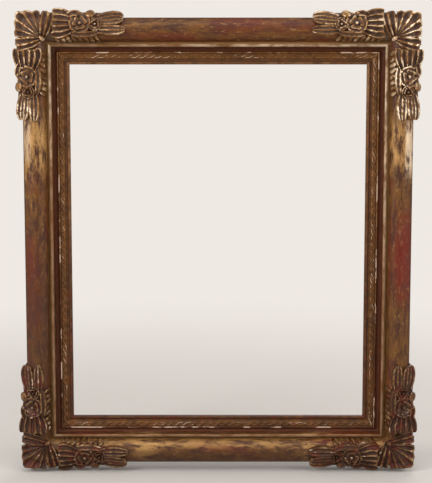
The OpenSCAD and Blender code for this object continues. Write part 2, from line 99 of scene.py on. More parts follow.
def frieze_height(u):
    """Height of the frieze's face above the back at u mm from the outer edge."""
    run = min(max(u, 0), FRIEZE_W) - CROWN_U
    height = CROWN_H - FRIEZE_R + math.sqrt(max(0, FRIEZE_R ** 2 - run ** 2))
    return height + min(u, 0) * OVERHANG_SLOPE


def rounded_minimum(first, second, width=14):
    """The smaller of two distances in mm, with the crease between them rounded off over a width."""
    overlap = max(0.0, width - abs(first - second))
    return min(first, second) - overlap * overlap / (4 * width)


# Sizes and colours that a user would change

def colour(name, description, value):
    return bpy.props.FloatVectorProperty(name=name, description=description, subtype="COLOR",
                                         size=4, min=0, max=1, default=linear(*value))


def length(name, description, millimetres):
    return bpy.props.FloatProperty(name=name, description=description, default=millimetres * MM,
                                   unit="LENGTH")


class GildingColours(bpy.types.PropertyGroup):
    # Painted shade with dark wax: the shadow colour darkens the recesses and other darker places, and gives
    # dark specks
    shadow: colour("Shadow", "Dark wax left in the recesses", (54, 31, 19))
    umber: colour("Umber", "Toned gilding on the broad surfaces", (66, 32, 8))
    ochre: colour("Ochre", "Gilding that still shows through the toning", (112, 71, 28))
    # Gold and cream also paint highlights and reflections, besides the rubbed gilding
    gold: colour("Gold", "Gilding rubbed bright on the high points", (178, 134, 78))
    cream: colour("Cream", "Palest rubbed edges", (236, 212, 180))
    bole: colour("Bole", "Red clay ground where the gold is worn through", (108, 28, 10))
    gesso: colour("Gesso", "White ground where the gilding has chipped off", (206, 176, 150))
    dust: colour("Dust", "Grey dust in the hollows of the upper corners", (92, 76, 60))


class OrnamentSizes(bpy.types.PropertyGroup):
    root_at: length("Shell root", "Distance of the shell's root from both outer edges", 33)
    shell_reach: length("Shell reach", "Reach of the middle flute from the root to the edge", 45.2)
    rose_at: length("Rose", "Distance of the larger rose from the outer corner", 97)
    rose_r: length("Rose radius", "Radius of the larger rose", 17)
    arm_l: length("Arm", "Length of an ornament's arm from the outer corner", 172)
    husk_pitch: length("Husk pitch", "Spacing of the husks along the inner slope", 9.6)
    husk_count: bpy.props.IntProperty(name="Husks", description="Number of husks in a garland",
                                      default=8, min=1)
    grain: length("Carving grain", "Size of the finest step in the carving", 0.7)


class SightEdgeSizes(bpy.types.PropertyGroup):
    ribbon_pitch: length("Ribbon pitch", "Length of one turn of the carved ribbon", 27)
    ribbon_h: length("Ribbon height", "Height of the ribbon above its ground", 2.6)


class StageSettings(bpy.types.PropertyGroup):
    distance: length("Camera distance", "Distance of the camera from the frame", 2200)
    elevation: bpy.props.FloatProperty(name="Camera elevation", description="Height angle of the camera",
                                       default=math.radians(6.6), subtype="ANGLE")
    aim_x: length("Aim", "Distance of the camera's aim to the right of the frame's middle", -3.6)
    lens: bpy.props.FloatProperty(name="Lens", description="Focal length in mm for a 36 mm long side",
                                  default=96.1)
    floor: colour("Floor", "Pale floor", (205, 198, 191))
    background: colour("Background", "Pale surroundings that the camera sees", (239, 233, 227))


# Helpers for modelling in edit mode

def deselect_all():
    if bpy.context.object and bpy.context.object.mode != "OBJECT":
        bpy.ops.object.mode_set(mode="OBJECT")
    bpy.ops.object.select_all(action="DESELECT")


def pick(chosen):
    """Selects the vertices of the edited mesh whose index the test accepts."""
    mesh = bmesh.from_edit_mesh(bpy.context.object.data)
    for vertex in mesh.verts:
        vertex.select = bool(chosen(vertex.index))
    mesh.select_flush_mode()
    bmesh.update_edit_mesh(bpy.context.object.data)


def move(x=0.0, y=0.0, z=0.0):
    bpy.ops.transform.translate(value=(x * MM, y * MM, z * MM))


def scale(x, y, z, centre):
    bpy.ops.transform.resize(value=(x, y, z), center_override=[c * MM for c in centre])


def turn(angle, centre):
    bpy.ops.transform.rotate(value=angle, orient_axis="Z", orient_type="GLOBAL",
                             center_override=[c * MM for c in centre])


def grid_in_edit_mode(name, columns, rows):
    """A grid 2 mm square about the origin; vertex i + (columns + 1) * j stands in column i and row j."""
    deselect_all()
    bpy.ops.mesh.primitive_grid_add(x_subdivisions=columns, y_subdivisions=rows, size=2 * MM)
    piece = bpy.context.object
    piece.name = name
    bpy.ops.object.mode_set(mode="EDIT")
    return piece


def finish_sheet(piece, depth, levels):
    """Gives a shaped grid its thickness downwards and rounds it off."""
    bpy.ops.mesh.select_all(action="SELECT")
    bpy.ops.mesh.extrude_region_move(TRANSFORM_OT_translate={"value": (0, 0, -depth * MM)})
    bpy.ops.mesh.select_all(action="SELECT")
    bpy.ops.mesh.normals_make_consistent(inside=False)
    bpy.ops.object.mode_set(mode="OBJECT")
    rounding = piece.modifiers.new("Rounding", "SUBSURF")
    rounding.levels = rounding.render_levels = levels
    bpy.ops.object.modifier_apply(modifier=rounding.name)
    return piece


def lobe(name, rows, section, depth=9.0, levels=2):
    """A carved lobe. rows lists (along, across, half width, height) from its base to its tip, in mm;
    section lists the height of each column of points across it."""
    columns = len(section) - 1
    piece = grid_in_edit_mode(name, columns, len(rows) - 1)
    for i, height in enumerate(section):
        if height:
            pick(lambda index: index % (columns + 1) == i)
            move(z=height)
    for j, (along, across, half, height) in enumerate(rows):
        before, after = rows[max(j - 1, 0)], rows[min(j + 1, len(rows) - 1)]
        heading = math.atan2(after[1] - before[1], after[0] - before[0]) - math.pi / 2
        start = (0, 2 * j / (len(rows) - 1) - 1, 0)
        pick(lambda index: index // (columns + 1) == j)
        scale(half, 1, min(1, half / 5), start)
        # With no window the operator turns clockwise for a positive angle
        turn(-heading, start)
        move(along - start[0], across - start[1], height)
    return finish_sheet(piece, depth, levels)


def placed(rows, at, angle):
    """Rows that run from the origin along the first axis, moved to a point and turned."""
    c, s = math.cos(angle), math.sin(angle)
    return [(at[0] + a * c - b * s, at[1] + a * s + b * c, half, height) for a, b, half, height in rows]


def ball(name, at, radii, angle=0.0):
    """A rounded bud or husk with its middle at a height above the frieze."""
    deselect_all()
    bpy.ops.mesh.primitive_uv_sphere_add(segments=16, ring_count=10, radius=MM, location=(0, 0, 0))
    piece = bpy.context.object
    piece.name = name
    bpy.ops.object.mode_set(mode="EDIT")
    bpy.ops.mesh.select_all(action="SELECT")
    scale(*radii, (0, 0, 0))
    turn(-angle, (0, 0, 0))
    move(*at)
    bpy.ops.object.mode_set(mode="OBJECT")
    return piece


def join(name, parts):
    deselect_all()
    for part in parts:
        part.select_set(True)
    bpy.context.view_layer.objects.active = parts[0]
    bpy.ops.object.join()
    parts[0].name = name
    return parts[0]


def lay_on_moulding(piece, surface):
    """Lifts a piece modelled flat onto the frieze. Its underside goes a little into the wood, and past
    the outer edge it comes down to the level of the ornament's back."""
    mesh = piece.data
    points = np.empty(len(mesh.vertices) * 3)
    mesh.vertices.foreach_get("co", points)
    points = points.reshape(-1, 3) / MM
    for point in points:
        u = surface(point[0], point[1])
        if point[2] < -1.5:
            point[2] = UNDER_H + 0.2 if u < 0.5 else frieze_height(u) - 2
        else:
            point[2] += frieze_height(u)
    mesh.vertices.foreach_set("co", (points * MM).ravel())
    mesh.update()


def fuse(piece, grain):
    """Makes one closed carved surface of overlapping lobes, as a casting has."""
    deselect_all()
    piece.select_set(True)
    bpy.context.view_layer.objects.active = piece
    piece.data.remesh_voxel_size = grain * 1
    piece.data.use_remesh_fix_poles = False
    bpy.ops.object.voxel_remesh()
    tool_marks = bpy.data.textures.new("tool marks", "CLOUDS")
    tool_marks.noise_scale = 6 * MM
    tool_marks.noise_depth = 2
    uneven = piece.modifiers.new("Tool marks", "DISPLACE")
    uneven.texture = tool_marks
    uneven.texture_coords = "LOCAL"
    uneven.strength = 1.2 * MM
    uneven.mid_level = 0.5
    bpy.ops.object.modifier_apply(modifier=uneven.name)
    smoothing = piece.modifiers.new("Soften", "SMOOTH")
    smoothing.factor = 0.5
    smoothing.iterations = 1
    bpy.ops.object.modifier_apply(modifier=smoothing.name)
    bpy.ops.object.shade_smooth()


def write_relief(piece, strength=1.0):
    """Stores how far each point stands out of its surroundings: 0 in a recess, 1 on a high edge."""
    mesh = piece.data
    count = len(mesh.vertices)
    points, normals = np.empty(count * 3), np.empty(count * 3)
    mesh.vertices.foreach_get("co", points)
    mesh.vertices.foreach_get("normal", normals)
    points, normals = points.reshape(-1, 3), normals.reshape(-1, 3)
    edges = np.empty(len(mesh.edges) * 2, dtype=np.int32)
    mesh.edges.foreach_get("vertices", edges)
    first, second = edges[::2], edges[1::2]
    neighbours = np.bincount(first, minlength=count) + np.bincount(second, minlength=count)

    def smoothed(values, times):
        for _ in range(times):
            total = np.stack([np.bincount(first, values[second, k], count)
                              + np.bincount(second, values[first, k], count) for k in range(3)], 1)
            values = 0.5 * values + 0.5 * total / np.maximum(neighbours, 1)[:, None]
        return values

    # The fine, the broad and the deep forms of the carving, each against a smoother copy of the mesh
    relief = 0.5
    for times, height, share in ((8, 0.35, 0.14), (50, 1.5, 0.34), (120, 1.5, 0.3)):
        smoother = smoothed(points, times)
        relief = relief + share * ((points - smoother) * normals).sum(1) / (height * MM)
        points = smoother
    relief = 0.5 + strength * (np.clip(relief, 0, 1) - 0.5)
    layer = mesh.attributes.new("relief", "FLOAT", "POINT")
    layer.data.foreach_set("value", relief.astype(np.float32))


def place_copy(piece, name, side, level, upright):
    """Copies a piece from the bench, where it lies flat as on the arm, to its corner of the frame."""
    copy = piece.copy()
    copy.data = piece.data.copy()
    copy.name = copy.data.name = name
    bpy.context.scene.collection.objects.link(copy)
    along = Vector((0, 0, -level)) if upright else Vector((-side, 0, 0))
    across = Vector((-side, 0, 0)) if upright else Vector((0, 0, -level))
    corner = Vector((side * HALF_W, 0, level * HALF_H)) * MM
    matrix = Matrix.Translation(corner) @ Matrix((along, across, (0, -1, 0))).transposed().to_4x4()
    copy.data.transform(matrix)
    if matrix.to_3x3().determinant() < 0:
        copy.data.flip_normals()
    copy.data.update()
    return copy


def drop(piece):
    bpy.data.objects.remove(piece, do_unlink=True)


# Materials

class Nodes:
    """Short calls for building a node tree."""

    def __init__(self, tree):
        self.tree = tree

    def new(self, kind, inputs=(), **settings):
        node = self.tree.nodes.new(kind)
        for name, value in settings.items():
            setattr(node, name, value)
        self.feed(node, inputs)
        return node

    def feed(self, node, inputs):
        """Gives inputs of a node their values, or links them to the outputs of other nodes."""
        for name, value in dict(inputs).items():
            if isinstance(value, bpy.types.NodeSocket):
                self.tree.links.new(value, node.inputs[name])
            else:
                node.inputs[name].default_value = value

    def place(self):
        """A piece's own coordinates, which are also the frame's, because all pieces sit at the origin."""
        return self.new("ShaderNodeTexCoord").outputs["Object"]

    def math(self, operation, *values):
        return self.new("ShaderNodeMath", enumerate(values), operation=operation).outputs[0]

    def product(self, first, *others):
        for other in others:
            first = self.math("MULTIPLY", first, other)
        return first

    def step(self, value, low, high, out_low=0.0, out_high=1.0):
        node = self.new("ShaderNodeMapRange", {"Value": value, "From Min": low, "From Max": high,
                                               "To Min": out_low, "To Max": out_high},
                        interpolation_type="SMOOTHSTEP", clamp=True)
        return node.outputs["Result"]

    def between(self, value, start, full, still_full, end):
        """1 in one stretch of the value, rising from start to full and falling from still_full to end."""
        return self.product(self.step(value, start, full), self.step(value, end, still_full))

    def mix(self, factor, first, second):
        node = self.new("ShaderNodeMix", {0: factor, 6: first, 7: second}, data_type="RGBA",
                        clamp_factor=True)
        return node.outputs[2]

    def noise(self, vector, size, detail=4.0, rough=0.55):
        """Cloudy noise whose blotches are about the given size in metres."""
        node = self.new("ShaderNodeTexNoise", {"Vector": vector, "Scale": 1 / size, "Detail": detail,
                                               "Roughness": rough})
        return node.outputs["Fac"]


def new_material(name):
    material = bpy.data.materials.new(name)
    material.use_nodes = True
    nodes = Nodes(material.node_tree)
    return material, nodes, material.node_tree.nodes["Principled BSDF"]


def moulding_coordinates(nodes):
    """The place in the frame, its distance u from the outer edge in mm, and a vector that runs along each
    rail for streaked patterns."""
    place = nodes.place()
    x, y, z = nodes.new("ShaderNodeSeparateXYZ", {0: place}).outputs
    from_side = nodes.math("SUBTRACT", HALF_W * MM, nodes.math("ABSOLUTE", x))
    from_end = nodes.math("SUBTRACT", HALF_H * MM, nodes.math("ABSOLUTE", z))
    u = nodes.product(nodes.math("MINIMUM", from_side, from_end), 1 / MM)
    upright = nodes.math("LESS_THAN", from_side, from_end)
    level = nodes.math("SUBTRACT", 1.0, upright)
    along = nodes.math("ADD", nodes.product(z, upright), nodes.product(x, level))
    # Each rail gets a stretch of the pattern of its own
    rail = nodes.math("ADD", nodes.product(nodes.math("SIGN", x), upright),
                      nodes.product(nodes.math("SIGN", z), level, 3.0))
    streaks = nodes.new("ShaderNodeCombineXYZ", {0: nodes.product(u, MM), 1: nodes.product(along, 0.28),
                                                 2: nodes.math("ADD", y, rail)})
    return {"object": place, "x": x, "y": y, "z": z, "u": u, "streaks": streaks.outputs[0]}


def patches(nodes, where, places):
    """Yields a soft blotch, 1 inside and 0 outside, and its strength for each (centre, radius, strength).
    Noise breaks up the blotches' edges."""
    for centre, radius, strength in places:
        distance = nodes.new("ShaderNodeVectorMath", {0: where["object"], 1: [c * MM for c in centre]},
                             operation="DISTANCE")
        ragged = nodes.product(nodes.noise(where["object"], 0.02), 0.7 * radius * MM)
        reach = nodes.math("ADD", distance.outputs["Value"], ragged)
        yield nodes.step(reach, radius * MM * 1.3, radius * MM * 0.7), strength


def add_bump(nodes, shader, height, depth, strength=1.0):
    bump = nodes.new("ShaderNodeBump", {"Distance": depth * MM, "Strength": strength, "Height": height})
    nodes.feed(shader, {"Normal": bump.outputs[0]})


def finish_gilding(nodes, shader, base, sheen, height, depth, varnish):
    """Joins a gilding's colour to its shader; where it has more sheen it is more metal and less rough."""
    nodes.feed(shader, {"Base Color": base, "Specular IOR Level": 0.32, "Coat Weight": varnish,
                        "Coat Roughness": 0.3, "Metallic": nodes.product(sheen, 0.55),
                        "Roughness": nodes.step(sheen, 0, 1, 0.62, 0.36)})
    add_bump(nodes, shader, height, depth, strength=0.8)


# Places of the rails whose finish differs, as (middle, radius, strength), with lengths in mm
RED_PLACES = (((HALF_W - 10, -45, -20), 110, 0.95), ((30, -45, HALF_H - 10), 70, 0.4),
              ((-HALF_W + 20, -45, -80), 120, 0.5))
# Painted highlights in gold: where the bottom rail's inner slope faces up to the light, and reflections on
# the uprights' upper outer slopes
HIGHLIGHT_PLACES = (((-125, -35, -HALF_H + 32), 40, 0.8), ((165, -35, -HALF_H + 32), 48, 0.7),
                 ((-HALF_W + 10, -42, 165), 80, 1.0), ((HALF_W - 6, -40, 165), 75, 1.0))
# Dust, and a painted reflection of the pale floor on the top rail's slope that faces down, near the corners
DUST_AND_REFLECTION_PLACES = (((-HALF_W + 70, -36, HALF_H - 30), 58, 0.75), ((HALF_W - 70, -36, HALF_H - 30), 58, 0.75))
# Painted highlights in cream on the uprights' upper outer slopes
PALE_HIGHLIGHT_PLACES = (((-HALF_W + 7, -40, 176), 50, 0.3), ((HALF_W - 7, -40, 160), 62, 0.7))
# The leaves that end the upper uprights, with the palest painted highlights of the ornaments
HIGHLIT_LEAVES = (((-HALF_W + 8, -45, HALF_H - 154), 26, 1.0), ((HALF_W - 12, -45, HALF_H - 152), 22, 0.7))


def toned_frieze(nodes, where, colours, streak, cloud):
    """Streaks of brown and ochre with red places, gold painted highlights, flecks of gold and dark specks.
    """
    base = nodes.mix(nodes.step(streak, 0.38, 0.62), colours.umber, colours.ochre)
    base = nodes.mix(nodes.step(cloud, 0.46, 0.68, 0, 0.5), base, colours.bole)
    outer_side = nodes.step(where["u"], 32, 18, 0.35, 1)
    for place, strength in patches(nodes, where, RED_PLACES):
        worn = nodes.product(place, nodes.step(streak, 0.34, 0.56, 0.3, strength), outer_side)
        base = nodes.mix(worn, base, colours.bole)
    # Painted highlights in gold
    for place, strength in patches(nodes, where, HIGHLIGHT_PLACES):
        bright = nodes.product(place, nodes.step(streak, 0.4, 0.62, 0, strength))
        base = nodes.mix(bright, base, colours.gold)
    fleck = nodes.noise(where["streaks"], 0.004, 6, 0.7)
    base = nodes.mix(nodes.step(fleck, 0.54, 0.7, 0, 0.5), base, colours.gold)
    speck = nodes.noise(where["object"], 0.0019, 4, 0.65)
    return nodes.mix(nodes.step(speck, 0.5, 0.7, 0, 0.7), base, colours.shadow)


def painted_light_and_dust(nodes, where, colours, streak, base):
    """Painted light and dust on single rails, laid over the toned frieze: painted highlights, painted shade,
    and grey dust with a painted reflection.
    """
    u, x, z = where["u"], where["x"], where["z"]
    # The bottom rail's inner slope, which faces up to the light, gets a painted highlight, and its outside,
    # which faces down, painted shade
    bottom_rail = nodes.step(z, -(HALF_H - 44) * MM, -(HALF_H - 40) * MM)
    slope_highlight = nodes.product(bottom_rail, nodes.step(u, 22, 31), nodes.step(streak, 0.38, 0.62, 0, 0.6))
    base = nodes.mix(slope_highlight, base, colours.gold)
    # Grey of dust and of a painted floor reflection
    for place, strength in patches(nodes, where, DUST_AND_REFLECTION_PLACES):
        dusty = nodes.product(place, nodes.step(u, 16, 26, 0.2, strength))
        base = nodes.mix(dusty, base, colours.dust)
    # Painted highlights in cream
    for place, strength in patches(nodes, where, PALE_HIGHLIGHT_PLACES):
        pale = nodes.product(place, nodes.step(streak, 0.36, 0.54), nodes.step(u, 16, 9, 0, strength))
        base = nodes.mix(pale, base, colours.cream)
    # Painted shade: the left rail is darker below its middle
    shaded_lower_left = nodes.product(nodes.step(z, 0.06, -0.1, 0, 0.42), nodes.step(x, -0.2, -0.26))
    shaded_bottom_outside = nodes.product(bottom_rail, nodes.step(u, 26, 18, 0, 0.45))
    return nodes.mix(nodes.math("MAXIMUM", shaded_lower_left, shaded_bottom_outside), base, colours.shadow)


def edged_frieze(nodes, where, colours, streak, base):
    """Adds the fillet, pale where it is rubbed and where a highlight is painted, the gilded quirk, which
    takes some of that painted highlight, and the dark shoulder. Gives back the colour and the fillet's share
    of wear and painted highlight."""
    u, x, z = where["u"], where["x"], where["z"]
    # Painted highlight: the fillet is palest around the upper right corner and beside the upper left
    # ornament
    upper_right = nodes.step(nodes.math("ADD", x, z), 0.1, 0.5)
    upper_left = nodes.product(nodes.step(x, -0.27, -0.28), nodes.step(z, 0.1, 0.26, 0, 1.3))
    pale = nodes.math("MAXIMUM", upper_right, upper_left)
    # The fillet's pale share is wear along the streaks and painted highlight
    rubbed = nodes.product(nodes.step(streak, 0.36, 0.66), nodes.math("ADD", 0.22, nodes.product(pale, 0.6)))
    on_fillet = nodes.between(u, FRIEZE_W + 2.2, FRIEZE_W + 3.4, STEP_U - 1.2, STEP_U)
    fillet = nodes.mix(rubbed, colours.ochre, colours.cream)
    base = nodes.mix(nodes.product(on_fillet, 0.75), base, fillet)
    base = nodes.mix(nodes.step(u, 2.4, 0.4, 0, 0.7), base, colours.shadow)
    in_quirk = nodes.between(u, FRIEZE_W - 2.5, FRIEZE_W, FRIEZE_W + 2.0, FRIEZE_W + 3.0)
    quirk = nodes.mix(nodes.math("ADD", streak, nodes.product(pale, 0.5)), colours.ochre, colours.gold)
    return nodes.mix(nodes.product(in_quirk, 0.75), base, quirk), nodes.product(on_fillet, rubbed)


def raw_wood(nodes, where, cloud):
    """Colour and grain of the rails' bare wood, drawn out along each rail."""
    drawn_out = nodes.new("ShaderNodeVectorMath", {0: where["streaks"], 1: (1, 0.12, 1)},
                          operation="MULTIPLY")
    grain = nodes.noise(drawn_out.outputs[0], 0.005, 6, 0.65)
    wood = nodes.mix(nodes.step(grain, 0.36, 0.6), linear(78, 50, 31), linear(136, 99, 66))
    return nodes.mix(nodes.step(cloud, 0.42, 0.7, 0, 0.5), wood, linear(92, 74, 56)), grain


def rail_gilding(colours):
    """Toned gilding of the frieze, with painted highlights and painted shade, and the bare wood of its back.
    """
    material, nodes, shader = new_material("rail gilding")
    where = moulding_coordinates(nodes)
    streak = nodes.noise(where["streaks"], 0.009, 7, 0.68)
    cloud = nodes.noise(where["streaks"], 0.04, 3, 0.5)
    base = toned_frieze(nodes, where, colours, streak, cloud)
    base = painted_light_and_dust(nodes, where, colours, streak, base)
    base, fillet_wear_and_highlight = edged_frieze(nodes, where, colours, streak, base)
    # The back and the rabbet were never gilded
    bare = nodes.math("MAXIMUM", nodes.step(where["y"], -0.0008, 0.0),
                      nodes.step(where["u"], STEP_U + 0.6, STEP_U + 1.2))
    wood, grain = raw_wood(nodes, where, cloud)
    base = nodes.mix(bare, base, wood)
    sheen = nodes.product(nodes.math("MAXIMUM", fillet_wear_and_highlight, nodes.step(streak, 0.3, 0.8)),
                          nodes.math("SUBTRACT", 1.0, bare))
    cracks = nodes.new("ShaderNodeTexVoronoi", {"Vector": where["streaks"], "Scale": 160},
                       feature="DISTANCE_TO_EDGE")
    crack = nodes.math("MAXIMUM", nodes.step(cracks.outputs["Distance"], 0, 0.05), bare)
    height = nodes.math("ADD", nodes.product(nodes.mix(bare, streak, grain), 0.8), nodes.product(crack, 0.2))
    finish_gilding(nodes, shader, base, sheen, height, depth=0.5, varnish=0.12)
    return material


def toned_carving(nodes, where, colours, relief, uneven, cloud, dust):
    """Painted shade with dark wax in the recesses, toned gilding on what stands out of them, and dust in the
    upper hollows.
    """
    u, z, high = where["u"], where["z"], where["high"]
    # Painted shade, with dark wax, in the recesses
    base = nodes.mix(nodes.step(uneven, 0.12, 0.42), colours.shadow, colours.umber)
    toned = nodes.product(nodes.step(cloud, 0.36, 0.6, 0.3, 1), nodes.step(high, 0, 1, 0.25, 1))
    base = nodes.mix(nodes.product(nodes.step(uneven, 0.36, 0.6), toned), base, colours.ochre)
    low = nodes.step(z, 0.05, -0.25, 0.3, 0.75)
    base = nodes.mix(nodes.product(nodes.step(cloud, 0.48, 0.62), low), base, colours.bole)
    dusty = nodes.product(nodes.step(z, 0.0, 0.3), nodes.between(relief, 0.12, 0.3, 0.42, 0.6),
                          nodes.step(cloud, 0.38, 0.6, 0.1 * dust, 0.75 * dust))
    base = nodes.mix(dusty, base, colours.dust)
    # Darker towards the bottom of the frame
    base = nodes.mix(nodes.step(high, 0, 1, 0.45, 0), base, colours.shadow)
    # Along the sight edge the red ground shows in the wide hollow, and the band keeps its gilding
    in_hollow = nodes.between(u, STEP_U, STEP_U + 1, BEAD_U - 2.25, BEAD_U - 0.75)
    base = nodes.mix(nodes.product(in_hollow, 0.6), base, nodes.mix(cloud, colours.bole, colours.ochre))
    on_band = nodes.between(u, BAND_U - 0.4, BAND_U + 0.4, MOULDING_W - 6.4, MOULDING_W - 5.6)
    base = nodes.mix(nodes.product(on_band, nodes.step(cloud, 0.3, 0.7, 0.3, 0.8)), base, colours.ochre)
    base = nodes.mix(nodes.step(u, MOULDING_W - 6, MOULDING_W - 5, 0, 0.3), base, colours.umber)
    bottom_bead = nodes.product(nodes.step(z, -(HALF_H - 58) * MM, -(HALF_H - 54) * MM),
                                nodes.between(u, STEP_U + 6, STEP_U + 7, STEP_U + 9.2, STEP_U + 9.8), 0.5)
    return nodes.mix(bottom_bead, base, colours.shadow)


def rubbed_and_highlit_carving(nodes, where, colours, uneven, highlights, base):
    """Adds gold and cream where the carving stands out, as rubbed gilding and painted highlight, brightest
    at the upper right. Gives back the colour and the share of gold.
    """
    high = where["high"]
    # Painted highlight towards the upper right corner
    lit_corner = nodes.product(nodes.step(where["x"], 0.25, 0.28), high)
    # The rubbing and the painted highlights gather in places: some leaves are nearly pale, others hardly
    # touched
    gathered = nodes.step(nodes.noise(where["object"], 0.034, 2, 0.5), 0.4, 0.6, 0.35, 1.2)
    highlit_leaves = nodes.math("MAXIMUM", *(nodes.product(*leaf)
                                          for leaf in patches(nodes, where, HIGHLIT_LEAVES)))
    gathered = nodes.math("ADD", gathered, nodes.product(highlit_leaves, 0.9))
    strength = nodes.math("ADD", nodes.step(high, 0, 1, 0.28, 0.75), nodes.product(lit_corner, 0.25))
    strength = nodes.product(strength, gathered, highlights)
    worn = nodes.noise(where["object"], 0.009, 3, 0.5)
    gold = nodes.product(nodes.step(uneven, 0.5, 0.7), nodes.step(worn, 0.36, 0.52, 0.25, 1), strength)
    base = nodes.mix(gold, base, colours.gold)
    palest_from = nodes.math("SUBTRACT", nodes.step(lit_corner, 0, 1, 0.66, 0.56),
                             nodes.product(highlit_leaves, 0.2))
    pale = nodes.product(nodes.step(nodes.math("SUBTRACT", uneven, palest_from), 0, 0.2),
                         nodes.step(worn, 0.42, 0.52), strength, strength)
    return nodes.mix(pale, base, colours.cream), gold


def carved_gilding(name, colours, chips, chip_size, highlights, dust):
    """Gilding over carving, with painted shade in its recesses and painted highlights on its high points.
    The relief that write_relief stores drives it, and white chips of gesso show in the given share of the
    high points."""
    material, nodes, shader = new_material(name)
    where = moulding_coordinates(nodes)
    # 0 low on the frame and 1 high on it: the carving is darker towards the bottom, and its gold and cream
    #                                      grow towards the top
    where["high"] = nodes.step(where["z"], -0.25, 0.2)
    relief = nodes.new("ShaderNodeAttribute", attribute_name="relief").outputs["Fac"]
    cloud = nodes.noise(where["object"], 0.016, 4, 0.6)
    speck = nodes.noise(where["object"], 0.0035, 4, 0.6)
    uneven = nodes.math("ADD", relief, nodes.product(nodes.math("SUBTRACT", speck, 0.5), 0.5))
    base = toned_carving(nodes, where, colours, relief, uneven, cloud, dust)
    base, gold = rubbed_and_highlit_carving(nodes, where, colours, uneven, highlights, base)
    broken = nodes.noise(where["streaks"], chip_size * MM, 5, 0.6)
    chipped = nodes.product(nodes.step(broken, 0.66 - chips * 0.2, 0.7 - chips * 0.2),
                            nodes.step(relief, 0.6, 0.72),
                            nodes.step(where["u"], MOULDING_W - 8, MOULDING_W - 10))
    base = nodes.mix(nodes.product(chipped, 0.85), base, colours.gesso)
    sheen = nodes.product(nodes.math("MAXIMUM", gold, nodes.step(uneven, 0.4, 0.9)),
                          nodes.math("SUBTRACT", 1.0, chipped))
    height = nodes.math("ADD", speck, nodes.product(cloud, 0.5))
    finish_gilding(nodes, shader, base, sheen, height, depth=0.35, varnish=0.1)
    return material


def sight_gilding(colours):
    return carved_gilding("sight edge gilding", colours, chips=0.6, chip_size=11, highlights=0.3, dust=0.0)


def ornament_gilding(colours):
    """The shells and the sprays share one material, so the second call finds the first one's."""
    name = "ornament gilding"
    return bpy.data.materials.get(name) or carved_gilding(name, colours, chips=0.2, chip_size=6,
                                                          highlights=1.0, dust=1.0)


def bare_wood():
    """Old bare wood of the mitre keys, its grain along the key."""
    material, nodes, shader = new_material("bare key wood")
    # The absolute place turns the diagonal bands with each corner
    mirrored = nodes.new("ShaderNodeVectorMath", {0: nodes.place()}, operation="ABSOLUTE")
    grain = nodes.new("ShaderNodeTexWave", {"Vector": mirrored.outputs[0], "Scale": 90, "Distortion": 4,
                                            "Detail": 3}, wave_type="BANDS", bands_direction="DIAGONAL")
    wood = nodes.mix(grain.outputs["Fac"], linear(122, 86, 54), linear(156, 116, 76))
    nodes.feed(shader, {"Base Color": wood, "Roughness": 0.75})
    add_bump(nodes, shader, grain.outputs["Fac"], 0.2)
    return material


def worn_metal(name, bright, dull, roughness):
    """Aged metal with dull blotches that are also rougher."""
    material, nodes, shader = new_material(name)
    place = nodes.place()
    blotch = nodes.step(nodes.noise(place, 0.006, 5, 0.6), 0.38, 0.66)
    nodes.feed(shader, {"Base Color": nodes.mix(blotch, linear(*bright), linear(*dull)), "Metallic": 0.9,
                        "Roughness": nodes.step(blotch, 0, 1, roughness, roughness + 0.25)})
    add_bump(nodes, shader, nodes.noise(place, 0.0012, 2, 0.5), 0.08)
    return material


def cover(names, material):
    for name in names:
        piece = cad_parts[name]
        if not piece.material_slots:
            piece.data.materials.append(material)
        for slot in piece.material_slots:
            slot.material = material


# Operators

class FRAME_OT_gild_rails(bpy.types.Operator):
    """Gild the four plain rails and finish the keys that lock their mitres"""
    bl_idname = "gilded_frame.gild_rails"
    bl_label = "Gild the rails"

    def execute(self, context):
        colours = context.scene.gilding_colours
        cover([f"rail_{side}" for side in ("top", "bottom", "left", "right")], rail_gilding(colours))
        cover([f"mitre_key_{corner}" for corner in CORNERS], bare_wood())
        return {"FINISHED"}


def arc(centre_u, centre_h, radius, angles):
    """Points of an outline on an arc, at angles in degrees from the direction of u."""
    return [(centre_u + radius * math.cos(math.radians(a)), centre_h + radius * math.sin(math.radians(a)))
            for a in angles]


def sight_profile():
    """Points of the sight strip's outline as (distance from the outer edge, height), in mm."""
    back, floor, edge = STRIP_BACK_H, STRIP_BACK_H + 4.5, MOULDING_W
    outline = [(STEP_U, back), (STEP_U, floor + 2.9)]
    outline += [(STEP_U + 3.75 + 3.75 * math.sin(math.radians(a)), floor + 3 - 3 * math.cos(math.radians(a)))
                for a in range(-66, 67, 22)]
    outline += [(BEAD_U - 1.25, floor + 4.8)] + arc(BEAD_U, floor + 5, 1.25, range(160, 19, -35))
    outline += [(BAND_U + 0.2, floor + 3.2)] + [(BAND_U + 0.6 + 0.5 * k, floor + 3) for k in range(16)]
    outline += [(GROOVE_U, floor + 2.2), (GROOVE_U + 0.4, floor + 0.3), (GROOVE_U + 1.5, floor),
                (GROOVE_U + 2.7, floor + 0.3)]
    outline += arc(edge - 3, floor, 3, (165, 135, 110, 90, 70, 45, 15))
    return outline + [(edge, floor - 0.6), (edge, back)]


def ribbon_height(along, u, sizes):
    """Height of the carved ribbon over its band: two strands that cross, with an eye between them."""
    middle, pitch = (BAND_U + GROOVE_U) / 2, sizes.ribbon_pitch / MM
    wander = 0.5 * noise.noise(Vector((along / 40, 3.1, 0)))
    phase = 2 * math.pi * along / pitch + 2 * wander
    height = 0.0
    for sign in (1, -1):
        strand = middle + sign * 2.7 * math.sin(phase)
        over = 0.75 + 0.25 * sign * math.cos(phase)
        height = max(height, over * math.exp(-((u - strand) / 1.25) ** 2))
    eye = abs(math.sin(phase)) ** 4 * math.exp(-((u - middle) / 1.0) ** 2)
    return sizes.ribbon_h / MM * max(height, 0.8 * eye)


